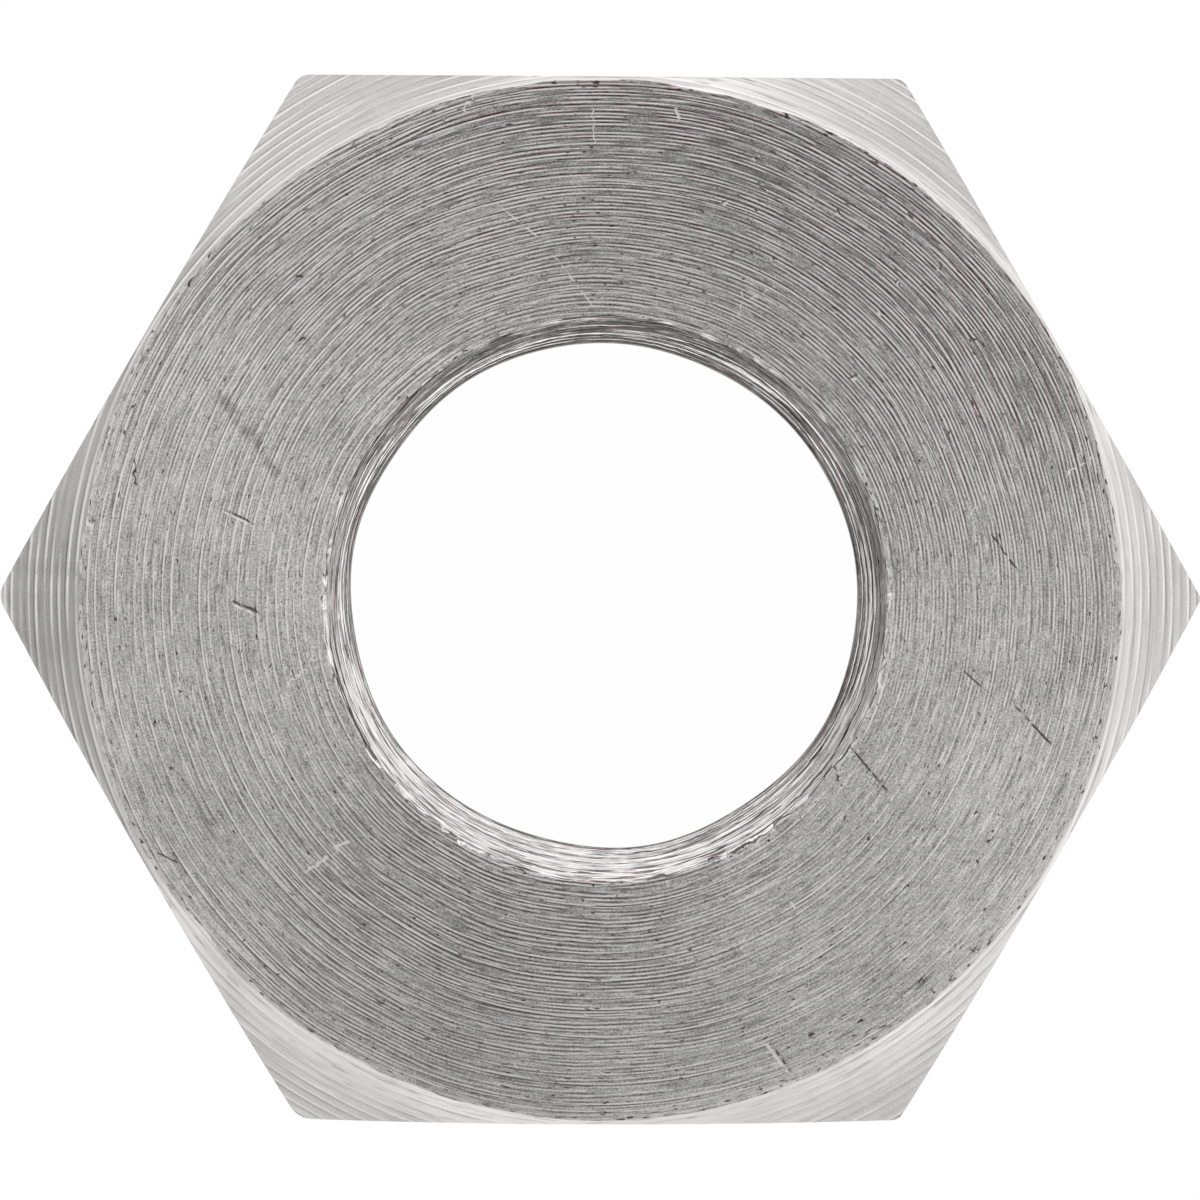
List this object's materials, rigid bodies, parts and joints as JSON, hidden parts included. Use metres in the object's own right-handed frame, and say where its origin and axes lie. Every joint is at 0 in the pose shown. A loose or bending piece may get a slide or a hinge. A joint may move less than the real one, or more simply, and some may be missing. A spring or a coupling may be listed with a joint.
{
  "type": "brake line tube nut",
  "caption": "Hollow hexagon-headed male tube nut with an outside thread, which slides on a brake tube and clamps its flared end into a port.",
  "frame": {"origin": "on the nut's axis, at the level of the nose's tip, which is the lowest point and what the nut stands on", "axes": "+Z along the nut's axis, from the nose to the end of the hexagon; two corners of the hexagon point along +X and -X, and two flats face +Y and -Y"},
  "size_m": [0.0114, 0.01, 0.016],
  "materials": {
    "turned_steel": "bright turned steel, with concentric tool marks on the end face and drawn flats on the hexagon"
  },
  "bodies": {
    "root": {"tube_nut": "turned_steel"}
  },
  "joints": []
}
